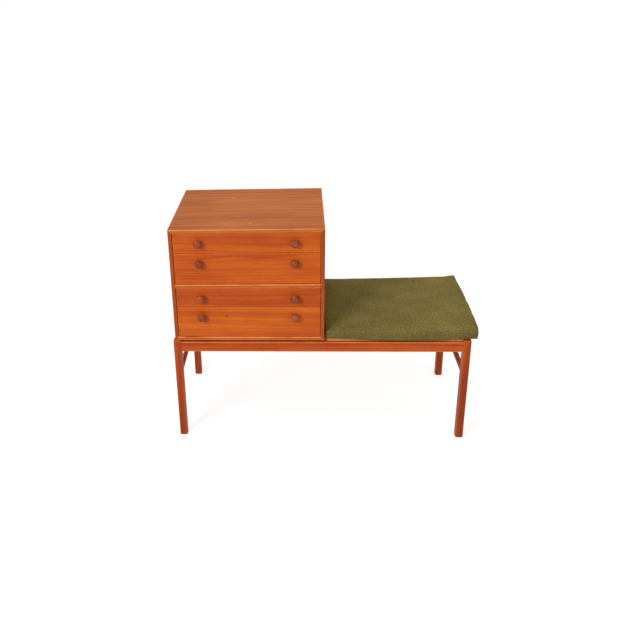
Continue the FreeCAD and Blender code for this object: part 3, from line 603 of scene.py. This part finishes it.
screw_steel = steel_finish()
SCREW_SETS = {"back_screws": "bench", "frame_screws": "bench", "runner_screws": "bench"}
SCREW_SETS.update({f"drawer_{drawer}_knob_screws": f"drawer_{drawer}" for drawer in DRAWERS})
for count, (node, body) in enumerate(SCREW_SETS.items()):
    found = screw_places(node)
    screw = slotted_screw("screw_shape", found[0][2])
    start = directed_points(node + "_places", [(place, way) for place, way, _ in found])
    inputs = {"Piece": screw, "Seed": count, "Finish": screw_steel}
    screws = grown(node + "_slotted", start, repeated, inputs)
    bpy.data.objects.remove(screw)
    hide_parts(node)
    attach(screws, body)

# ---------------------------------------------------------------------------------------------
# The cushion is a slab of foam in a sewn wool cover, loose on the seat board. It is lower at the
# case, where it is tucked in, and its corners are sewn upright seams that pull the cloth in.
CUSHION_CELL = 0.0058
CUSHION_FRONT_LINE = (
    (-0.98, -0.1972), (-0.74, -0.2004), (-0.54, -0.2070), (-0.15, -0.2122), (0.50, -0.2082), (0.76, -0.2046),
    (0.98, -0.2010),
)
CUSHION_REAR, CUSHION_REAR_BOW = 0.226, 0.005
CUSHION_CASE_END, CUSHION_CASE_BOW = 0.0035, 0.0010
CUSHION_FREE_END, CUSHION_FREE_BOW = 0.4893, 0.0045
CUSHION_FRONT_HEIGHTS = (0.026, 0.036, 0.043)
CUSHION_REAR_HEIGHTS = (0.036, 0.037, 0.045)
CUSHION_CROWN = 0.005
CUSHION_EAR = 0.0022
CUSHION_TOP_ROUND, CUSHION_FOOT_ROUND = 0.0055, 0.0025
CUSHION_WAIST, CUSHION_FOOT_DRAW, CUSHION_BROW_DRAW = 0.018, 0.0005, 0.0015

cushion_low, cushion_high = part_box("cushion_cover")
floor_z = cushion_low.z
length, depth = cushion_high.x - cushion_low.x, cushion_high.y - cushion_low.y
cells_x, cells_y = round(length / CUSHION_CELL), round(depth / CUSHION_CELL)
front_line = np.polynomial.Polynomial.fit(*zip(*CUSHION_FRONT_LINE), 4)


def cushion_point(s, t, draw, z):
    """A point of a level slice: s and t run from -1 to 1 across it, and draw pulls its edge in."""
    case_end = CUSHION_CASE_END + CUSHION_CASE_BOW * t * t + draw
    free_end = CUSHION_FREE_END - CUSHION_FREE_BOW * t * t - draw
    front = front_line(s) + draw
    rear = CUSHION_REAR - CUSHION_REAR_BOW * s * s - draw
    x = (case_end * (1 - s) + free_end * (1 + s)) / 2
    y = (front * (1 - t) + rear * (1 + t)) / 2
    return np.stack([x, y, z], -1)


def cushion_height(s, t):
    """How high it is: a curve along the front, one along the rear, a crown, and one lifted corner."""
    front, rear = (
        middle + (free - low) / 2 * s + ((free + low) / 2 - middle) * s * s
        for low, middle, free in (CUSHION_FRONT_HEIGHTS, CUSHION_REAR_HEIGHTS)
    )
    crown = CUSHION_CROWN * (1 - t * t) * (1 - 0.6 * s**4)
    ear = CUSHION_EAR * np.exp(-(((1 - s) / 0.12) ** 2)) * np.exp(-(((1 - t) / 0.2) ** 2))
    return front * (1 - t) / 2 + rear * (1 + t) / 2 + crown + ear


def side_draw(z):
    """How far the side stands in from the waist at a height over the floor."""
    below = np.clip((CUSHION_WAIST - z) / CUSHION_WAIST, 0, 1)
    above = np.clip((z - CUSHION_WAIST) / CUSHION_WAIST, 0, 1)
    return CUSHION_FOOT_DRAW * below**2 + CUSHION_BROW_DRAW * above**2


def cushion_mesh(name):
    """A closed mesh of squares: a sheet over, a sheet under, and rings of the sides between them."""
    line_s, line_t = np.linspace(-1, 1, cells_x + 1), np.linspace(-1, 1, cells_y + 1)
    s, t = (grid.ravel() for grid in np.meshgrid(line_s, line_t))
    across = cells_x + 1
    rim = list(range(cells_x))
    rim += [cells_x + k * across for k in range(cells_y)]
    rim += [cells_y * across + cells_x - k for k in range(cells_x)]
    rim += [(cells_y - k) * across for k in range(cells_y)]
    rim_s, rim_t = s[rim], t[rim]
    height = cushion_height(rim_s, rim_t)
    shoulder = height - CUSHION_TOP_ROUND

    rings = []
    for turn in (22.5, 45, 67.5, 90):
        lean = math.radians(turn)
        z = height - CUSHION_TOP_ROUND * (1 - math.cos(lean))
        rings.append((side_draw(shoulder) + CUSHION_TOP_ROUND * (1 - math.sin(lean)), z))
    for share in (0.8, 0.6, 0.4, 0.2, 0.0):
        z = CUSHION_FOOT_ROUND + (shoulder - CUSHION_FOOT_ROUND) * share
        rings.append((side_draw(z), z))
    lean = math.radians(45)
    foot = side_draw(np.zeros(1))
    z = np.full(len(rim), CUSHION_FOOT_ROUND * (1 - math.sin(lean)))
    rings.append((foot + CUSHION_FOOT_ROUND * (1 - math.cos(lean)), z))

    inner = side_draw(cushion_height(s, t) - CUSHION_TOP_ROUND) + CUSHION_TOP_ROUND
    over = cushion_point(s, t, inner, floor_z + cushion_height(s, t))
    beneath = cushion_point(s, t, foot + CUSHION_FOOT_ROUND, np.full(len(s), floor_z))
    sides = [cushion_point(rim_s, rim_t, draw, floor_z + z) for draw, z in rings]
    points = np.concatenate([over, *sides, beneath])

    sheet, ring = len(s), len(rim)
    starts = [sheet + k * ring for k in range(len(rings))]
    loops = [rim] + [[start + k for k in range(ring)] for start in starts]
    loops.append([starts[-1] + ring + k for k in rim])
    faces = []
    for row in range(cells_y):
        for column in range(cells_x):
            k = row * across + column
            faces.append((k, k + 1, k + across + 1, k + across))
            low = k + starts[-1] + ring
            faces.append((low, low + across, low + across + 1, low + 1))
    for upper, lower in zip(loops, loops[1:]):
        for k in range(ring):
            after = (k + 1) % ring
            faces.append((upper[k], lower[k], lower[after], upper[after]))
    mesh = bpy.data.meshes.new(name)
    mesh.from_pydata(points.tolist(), [], faces)
    mesh.update()
    return mesh, loops


CUSHION_CLEARANCE = 0.0007
PUFF_FRAMES, PUFF_EASING = 20, 60
PUFF_LIMIT, PUFF_DETAIL, PUFF_DRIFT = 0.0050, 0.6, 0.1
cover_mesh, cover_loops = cushion_mesh("cushion_wool_cover")
cover = mesh_object("cushion_wool_cover", cover_mesh)


def points_of(mesh):
    flat = np.zeros(len(mesh.vertices) * 3)
    mesh.vertices.foreach_get("co", flat)
    return flat.reshape(-1, 3)


def set_points(mesh, points):
    mesh.vertices.foreach_set("co", points.astype(np.float32).ravel())
    mesh.update()


def puff(piece, resting):
    """Blows the cover up a little with a cloth simulation; resting is what lies on the board."""
    held = piece.vertex_groups.new(name="resting")
    held.add(resting, 1.0, "REPLACE")
    cloth = piece.modifiers.new("cloth", "CLOTH")
    wool = cloth.settings
    wool.quality = 6
    wool.mass = 0.4
    wool.tension_stiffness = wool.compression_stiffness = 18
    wool.shear_stiffness = 8
    wool.bending_stiffness = 2.5
    wool.air_damping = 2
    wool.use_pressure = True
    wool.uniform_pressure_force = 3.0
    wool.shrink_min = -0.012
    wool.vertex_group_mass = "resting"
    wool.effector_weights.gravity = 0
    cloth.collision_settings.use_collision = False
    scene = bpy.context.scene
    for step in range(1, PUFF_FRAMES + 1):
        scene.frame_set(step)
    ready = piece.evaluated_get(bpy.context.evaluated_depsgraph_get())
    blown = points_of(ready.to_mesh())
    ready.to_mesh_clear()
    piece.modifiers.remove(cloth)
    piece.vertex_groups.remove(held)
    scene.frame_set(1)
    return blown


def eased(mesh, values, rounds):
    """Values on a mesh's points, each averaged with its neighbours' time after time."""
    ends = np.zeros(len(mesh.edges) * 2, dtype=int)
    mesh.edges.foreach_get("vertices", ends)
    first, second = ends.reshape(-1, 2).T
    count = np.bincount(ends, minlength=len(values))[:, None]
    for _ in range(rounds):
        total = np.zeros_like(values)
        np.add.at(total, first, values[second])
        np.add.at(total, second, values[first])
        values = (values + total / count) / 2
    return values


rest = points_of(cover_mesh)
under_start = cover_loops[-1][0]
moved = puff(cover, list(range(under_start, len(rest)))) - rest
drift = eased(cover_mesh, moved, PUFF_EASING)
moved = (moved - drift) * PUFF_DETAIL + drift * PUFF_DRIFT
moved *= PUFF_LIMIT / (PUFF_LIMIT + np.linalg.norm(moved, axis=1, keepdims=True))
rest = rest + moved
rest[:, 2] = np.maximum(rest[:, 2], floor_z)
rest[:, 0] = np.maximum(rest[:, 0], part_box("case_side_right")[1].x + CUSHION_CLEARANCE)
set_points(cover_mesh, rest)

smooth = cover.modifiers.new("smooth", "SUBSURF")
smooth.levels = smooth.render_levels = 1
finer = bpy.data.meshes.new_from_object(cover.evaluated_get(bpy.context.evaluated_depsgraph_get()))
cover.modifiers.remove(smooth)
finer.name = "cushion_wool_cover"
cover.data = finer
finer.shade_smooth()


def lay_weave(mesh):
    """Unfolds the cover into its cloth: the top as it lies, and each side folded out from it."""
    points = points_of(mesh)
    brow = points[:, 2].max()
    weave = mesh.uv_layers.new(name="weave")
    flat = np.zeros((len(mesh.loops), 2))
    for face in mesh.polygons:
        normal = face.normal
        lean = max(abs(normal.x), abs(normal.y))
        for loop in face.loop_indices:
            x, y, z = points[mesh.loops[loop].vertex_index]
            if abs(normal.z) > lean:
                flat[loop] = (x, y)
            elif abs(normal.y) > abs(normal.x):
                flat[loop] = (x, y + math.copysign(brow - z, normal.y))
            else:
                flat[loop] = (x + math.copysign(brow - z, normal.x), y)
    weave.data.foreach_set("uv", flat.ravel())


lay_weave(finer)


YARN = 0.0024
WOOL_TONES = (
    tint(78, 72, 36), tint(112, 102, 52), tint(132, 118, 63), tint(152, 134, 74), tint(180, 164, 108)
)
BROWN_FLECK, GREEN_FLECK, SIDE_SHADE = tint(152, 114, 60), tint(100, 106, 60), tint(84, 78, 50)
# How high the wool starts to darken, and where it is wholly darkened: painted shade low on the cover.
SIDE_SHADE_FROM, SIDE_SHADE_WHOLLY = 0.400, 0.372


def wool_finish():
    """Olive wool in a plain weave: thick flecked yarns of green, brown and straw, over and under."""
    material, spot = new_finish("wool_fabric")
    cloth = spot.node("ShaderNodeUVMap", {"uv_map": "weave"})
    u, v = cloth.parts(0, 1)
    wander = (cloth * (60, 60, 0)).noise(2, 0.5)
    across, along = (way / YARN + wander * 0.7 for way in (u, v))
    warp, weft = ((p * math.pi).reckon("SINE") for p in (across, along))
    over = (warp * weft).between(-0.25, 0.25)
    height = over * warp.reckon("ABSOLUTE") + (1 - over) * weft.reckon("ABSOLUTE")
    warp_lie = spot.join(across.reckon("FLOOR") * 3.7, v * 170, 1.0)
    weft_lie = spot.join(u * 170, along.reckon("FLOOR") * 3.7, 6.0)
    flecks = over * warp_lie.noise(2, 0.6) + (1 - over) * weft_lie.noise(2, 0.6)
    cloud = (spot * (9, 9, 9)).noise(2, 0.55)
    fuzz = (spot * (3000, 3000, 3000)).noise(1, 0.5)
    slubs = (cloth * (230, 230, 0)).noise(1, 0.5)
    # The weave's height also lightens the crests of the yarns and darkens the hollows between them: painted
    # shade.
    tone = flecks * 0.65 + slubs * 0.45 + cloud * 0.25 + height * 0.16 + fuzz * 0.08 - 0.34
    shade = tone.ramp((0.28, 0.41, 0.50, 0.59, 0.74), WOOL_TONES)
    dyed = (cloth * (170, 170, 0)).noise(2, 0.6)
    shade = (dyed.between(0.48, 0.62) * 0.38).choose(shade, BROWN_FLECK)
    shade = (dyed.between(0.50, 0.38) * 0.5).choose(shade, GREEN_FLECK)
    # Painted shade: the wool is darker towards the bottom of the cover, where its sides get less light.
    painted_side_shade = spot.parts(2)[0].between(SIDE_SHADE_FROM, SIDE_SHADE_WHOLLY) * 0.32
    shade = painted_side_shade.choose(shade, SIDE_SHADE)
    coat(shade, 0.95, height + fuzz * 0.4, 0.0004, shine=0.08)
    return material


finer.materials.clear()
finer.materials.append(wool_finish())
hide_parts("cushion_cover", "cushion_foam")
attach(cover, "cushion")


# ---------------------------------------------------------------------------------------------
# The cover closes at the back with a zip: a dark woven tape let into the rear face, brass teeth
# down its middle, a row of stitches along each of its edges, and a slider with a pull.
SIDE_RING, ZIP_MARGIN = 7, 8
TAPE_WIDTH, TAPE_RISE = 0.013, 0.0005
TOOTH_PITCH, TOOTH_SIZE, TOOTH_RISE = 0.0022, (0.0012, 0.0016, 0.0040), 0.0008
STITCH_PITCH, STITCH_SIZE, STITCH_RISE, STITCH_LEVEL = 0.0034, (0.0024, 0.0007, 0.0006), 0.0007, 0.0052
SLIDER_SIZE, SLIDER_RISE = (0.0090, 0.0040, 0.0070), 0.0016
PULL_SIZE, PULL_RISE, PULL_DROP = (0.0050, 0.0012, 0.0150), 0.0042, 0.0072
BLOCK_WAIST = 0.6

rear_ring = cover_loops[SIDE_RING][cells_x + cells_y : 2 * cells_x + cells_y + 1]
zip_path = points_of(finer)[rear_ring][ZIP_MARGIN:-ZIP_MARGIN]
zip_path[:, 2] = np.linspace(zip_path[0, 2], zip_path[-1, 2], len(zip_path))
zip_way = np.gradient(zip_path, axis=0)
zip_way /= np.linalg.norm(zip_way, axis=1, keepdims=True)
zip_out = np.stack([zip_way[:, 1], -zip_way[:, 0], np.zeros(len(zip_way))], -1)


def plain_mesh(name, points, faces):
    """A closed mesh from points and faces."""
    shell = bmesh.new()
    corners = [shell.verts.new(point) for point in points]
    for face in faces:
        shell.faces.new([corners[k] for k in face])
    return closed_mesh(name, shell)


def ribbon(name, path, out, width, rise):
    """A flat ribbon along a path, half sunk in what it is sewn to."""
    up = np.array([0, 0, width / 2])
    outer, inner = path + out * rise, path - out * rise
    rows = [outer + up, outer - up, inner - up, inner + up]
    count = len(path)
    near_end = tuple(row * count for row in range(4))
    faces = [near_end, tuple(k + count - 1 for k in reversed(near_end))]
    for row in range(4):
        start, after = row * count, (row + 1) % 4 * count
        faces += [(start + k, start + k + 1, after + k + 1, after + k) for k in range(count - 1)]
    return plain_mesh(name, np.concatenate(rows).tolist(), faces)


def small_block(name, size):
    """A little block with its upright edges taken off, for teeth, stitches and the slider."""
    x, y, z = (part / 2 for part in size)
    outline = [(x, y * BLOCK_WAIST), (x * BLOCK_WAIST, y), (-x * BLOCK_WAIST, y), (-x, y * BLOCK_WAIST)]
    outline += [(-a, -b) for a, b in outline]
    points = [(a, b, side * z) for side in (-1, 1) for a, b in outline]
    faces = [tuple(range(8)), tuple(range(8, 16))]
    faces += [(k, (k + 1) % 8, (k + 1) % 8 + 8, k + 8) for k in range(8)]
    return mesh_object(name, plain_mesh(name, points, faces))


def row_tree():
    """Sets a piece at every step of a path, with its X along the path."""
    tree, (path, piece, step, finish) = new_tree(
        "in_a_row", [("Path", "Geometry"), ("Piece", "Object"), ("Step", "Float"), ("Finish", "Material")]
    )
    line = path.node("GeometryNodeMeshToCurve", None, {0: path})
    line = line.node("GeometryNodeResampleCurve", {"mode": "LENGTH"}, {"Curve": line, "Length": step})
    way = line.node("GeometryNodeInputTangent")
    aimed = way.node("FunctionNodeAlignRotationToVector", {"axis": "X"}, {"Vector": way})
    shape = piece.node("GeometryNodeObjectInfo", None, {0: piece}, "Geometry")
    shapes = line.node(
        "GeometryNodeInstanceOnPoints", None, {"Points": line, "Instance": shape, "Rotation": aimed}
    )
    end_tree(shapes, finish)
    return tree


def line_mesh(name, points):
    mesh = bpy.data.meshes.new(name)
    mesh.from_pydata(points.tolist(), [(k, k + 1) for k in range(len(points) - 1)], [])
    return mesh


def thread_finish(name, shade, pitch):
    """Spun or woven thread of one colour, ribbed along the zip."""
    material, spot = new_finish(name)
    lie = (spot.parts(0)[0] * (2 * math.pi / pitch)).reckon("SINE")
    fluff = (spot * (1400, 1400, 1400)).noise(2, 0.5)
    dark = tint(*(part * 0.55 for part in shade))
    coat((lie * 0.12 + fluff * 0.5).choose(tint(*shade), dark), 0.9, lie + fluff, 0.0002)
    return material


def brass_finish():
    """Yellow brass that has browned in patches."""
    material, spot = new_finish("zip_brass")
    dull = (spot * (700, 700, 700)).noise(2, 0.6)
    shade = dull.between(0.40, 0.70).choose(tint(196, 160, 92), tint(150, 112, 60))
    coat(shade, 0.34 + dull * 0.2, dull, 0.00002, metal=1.0)
    return material


in_a_row = row_tree()
brass = brass_finish()
tape = ribbon("cushion_zip_tape", zip_path, zip_out, TAPE_WIDTH, TAPE_RISE)
tape.materials.append(thread_finish("zip_tape", (74, 68, 40), 0.0012))
tape = mesh_object("cushion_zip_tape", tape)

tooth = small_block("tooth_shape", TOOTH_SIZE)
start = line_mesh("zip_line", zip_path + zip_out * TOOTH_RISE)
inputs = {"Piece": tooth, "Step": TOOTH_PITCH, "Finish": brass}
teeth = grown("cushion_zip_teeth", start, in_a_row, inputs)

stitch = small_block("stitch_shape", STITCH_SIZE)
inputs = {"Piece": stitch, "Step": STITCH_PITCH, "Finish": thread_finish("zip_thread", (96, 88, 50), 0.0006)}
rows = []
for edge, level in (("lower", -STITCH_LEVEL), ("upper", STITCH_LEVEL)):
    start = line_mesh("stitch_line", zip_path + zip_out * STITCH_RISE + np.array([0, 0, level]))
    rows.append(grown(f"cushion_zip_stitches_{edge}", start, in_a_row, inputs))

body, pull = small_block("slider_shape", SLIDER_SIZE), small_block("pull_shape", PULL_SIZE)
place, out = zip_path[1], zip_out[1]
hang = out * PULL_RISE - np.array([0, 0, PULL_DROP])
slider_shell = bmesh.new()
for block, offset in ((body, out * SLIDER_RISE), (pull, hang)):
    block.data.transform(Matrix.Translation(Vector(place + offset)))
    slider_shell.from_mesh(block.data)
slider = mesh_object("cushion_zip_slider", closed_mesh("cushion_zip_slider", slider_shell))
slider.data.materials.append(brass)
for piece in (tooth, stitch, body, pull):
    bpy.data.objects.remove(piece)
for piece in (tape, teeth, slider, *rows):
    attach(piece, "cushion")

# ---------------------------------------------------------------------------------------------
# The bench stands on a plain pale floor under a large soft lamp, high on its left and in front,
# with weaker ones on its right and behind it, and even light from all round.
FLOOR_REACH, FLOOR_SHADE, FLOOR_GLOW = 60.0, (0.55, 0.55, 0.55, 1.0), 0.65
AIR_STRENGTHS = (0.40, 0.75, 1.0)
LAMP_AIM = Vector((0, 0, 0.45))
LAMPS = {
    "key_lamp": ((-2.2, -3.1, 2.3), 1.2, 84),
    "fill_lamp": ((2.8, -2.2, 1.6), 2.4, 12),
    "back_lamp": ((-3.4, 2.9, 1.3), 2.0, 34),
}
floor_mesh = bpy.data.meshes.new("floor")
corners = [(x * FLOOR_REACH, y * FLOOR_REACH, 0) for x, y in ((-1, -1), (1, -1), (1, 1), (-1, 1))]
floor_mesh.from_pydata(corners, [], [(0, 1, 2, 3)])
floor = mesh_object("floor", floor_mesh)
floor_finish, spot = new_finish("floor")
matt = spot.node("ShaderNodeBsdfDiffuse", None, {"Color": FLOOR_SHADE})
glow = spot.node("ShaderNodeEmission", None, {"Strength": FLOOR_GLOW})
bright = spot.node("ShaderNodeAddShader", None, {0: matt, 1: glow})
seen, mirrored = spot.node("ShaderNodeLightPath", out=("Is Camera Ray", "Is Glossy Ray"))
pale = spot.node("ShaderNodeMixShader", None, {0: seen.reckon("MAXIMUM", mirrored), 1: matt, 2: bright})
pale.node("ShaderNodeOutputMaterial", None, {"Surface": pale}, None)
floor_mesh.materials.append(floor_finish)

world = bpy.data.worlds.new("studio")
world.use_nodes = True
world.node_tree.nodes.clear()
air = Socket(world.node_tree)
up = air.node("ShaderNodeTexCoord", out="Generated")
up = up.parts(2)[0]
level_air, high_air, white = (
    air.node("ShaderNodeBackground", None, {"Color": (1.0, 1.0, 1.0, 1.0), "Strength": strength})
    for strength in AIR_STRENGTHS
)
air = air.node("ShaderNodeMixShader", None, {0: up.between(0.1, 0.9), 1: level_air, 2: high_air})
seen = air.node("ShaderNodeLightPath", out="Is Camera Ray")
air = air.node("ShaderNodeMixShader", None, {0: seen, 1: air, 2: white})
air.node("ShaderNodeOutputWorld", None, {"Surface": air}, None)
bpy.context.scene.world = world

for name, (place, size, power) in LAMPS.items():
    lamp = bpy.data.lights.new(name, "AREA")
    lamp.size, lamp.energy = size, power
    stand = bpy.data.objects.new(name, lamp)
    stand.location = place
    stand.rotation_euler = (LAMP_AIM - Vector(place)).to_track_quat("-Z", "Y").to_euler()
    bpy.context.scene.collection.objects.link(stand)

bpy.context.scene.view_settings.view_transform = "Standard"
